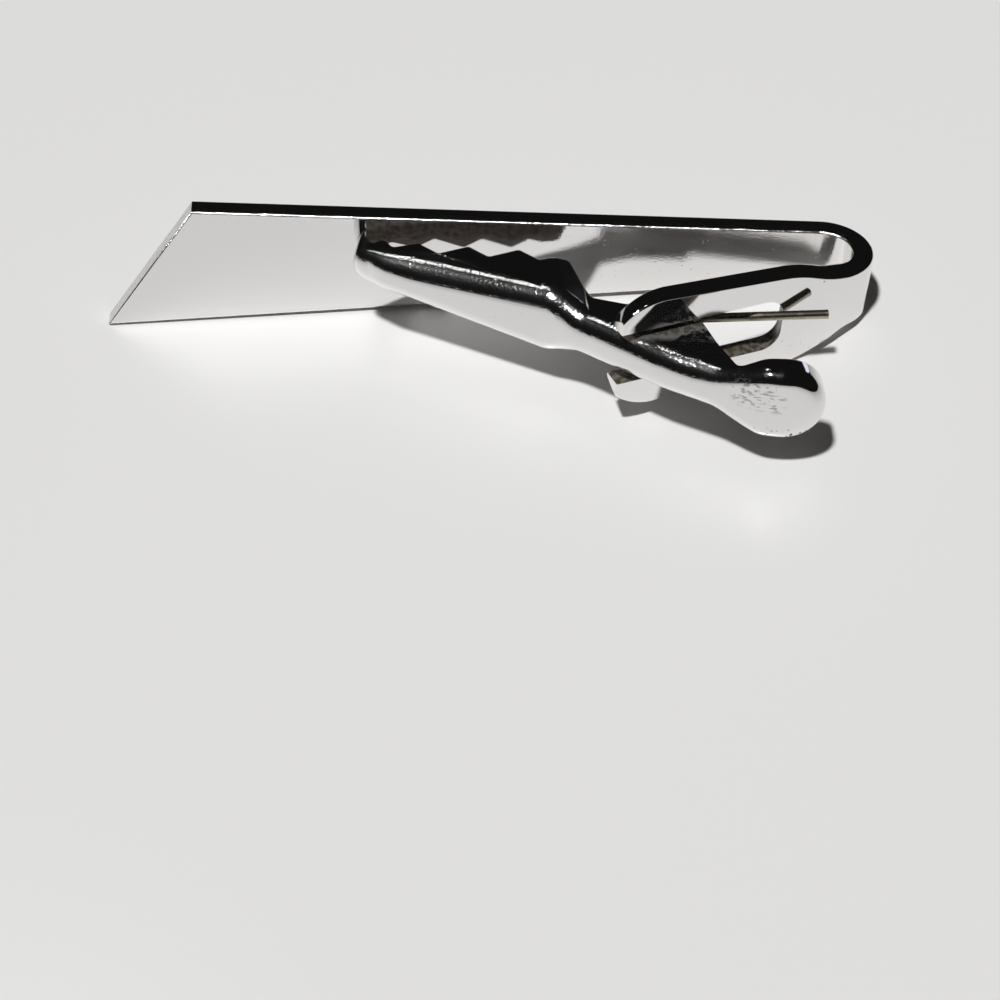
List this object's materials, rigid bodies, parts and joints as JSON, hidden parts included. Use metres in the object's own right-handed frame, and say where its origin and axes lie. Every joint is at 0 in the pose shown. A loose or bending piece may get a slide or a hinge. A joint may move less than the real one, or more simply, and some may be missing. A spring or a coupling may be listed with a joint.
{
  "type": "tie clip",
  "caption": "Polished tie clip: a tapered show bar bent back into a fork that carries a toothed, spring-loaded jaw lever with a thumb pad.",
  "frame": {"origin": "the point where the closed jaw's nose meets the back face of the show bar, on the mid plane of the fork and lever", "axes": "+X along the show bar towards the U bend, +Y out of the front of the show bar, +Z along the strip's width"},
  "size_m": [0.051, 0.0183, 0.0114],
  "materials": {
    "polished_strip": "mirror polished plate",
    "polished_lever": "mirror polished plate, scuffed at the thumb pad",
    "pin_steel": "plain drawn steel",
    "spring_wire": "tarnished spring wire"
  },
  "bodies": {
    "clip": {"clip_strip": "polished_strip", "hairpin_spring": "spring_wire"},
    "lever": {"jaw_lever": "polished_lever", "hinge_pin": "pin_steel"}
  },
  "joints": [
    {"name": "jaw_hinge", "type": "hinge", "parent": "clip", "child": "lever", "pos_m": [0.02037, -0.00911, 0], "axis": [0, 0, 1], "range_deg": [0, 36], "stiffness_Nm_per_rad": 0.003, "springref_deg": -9.74, "deforming": ["hairpin_spring"]}
  ]
}
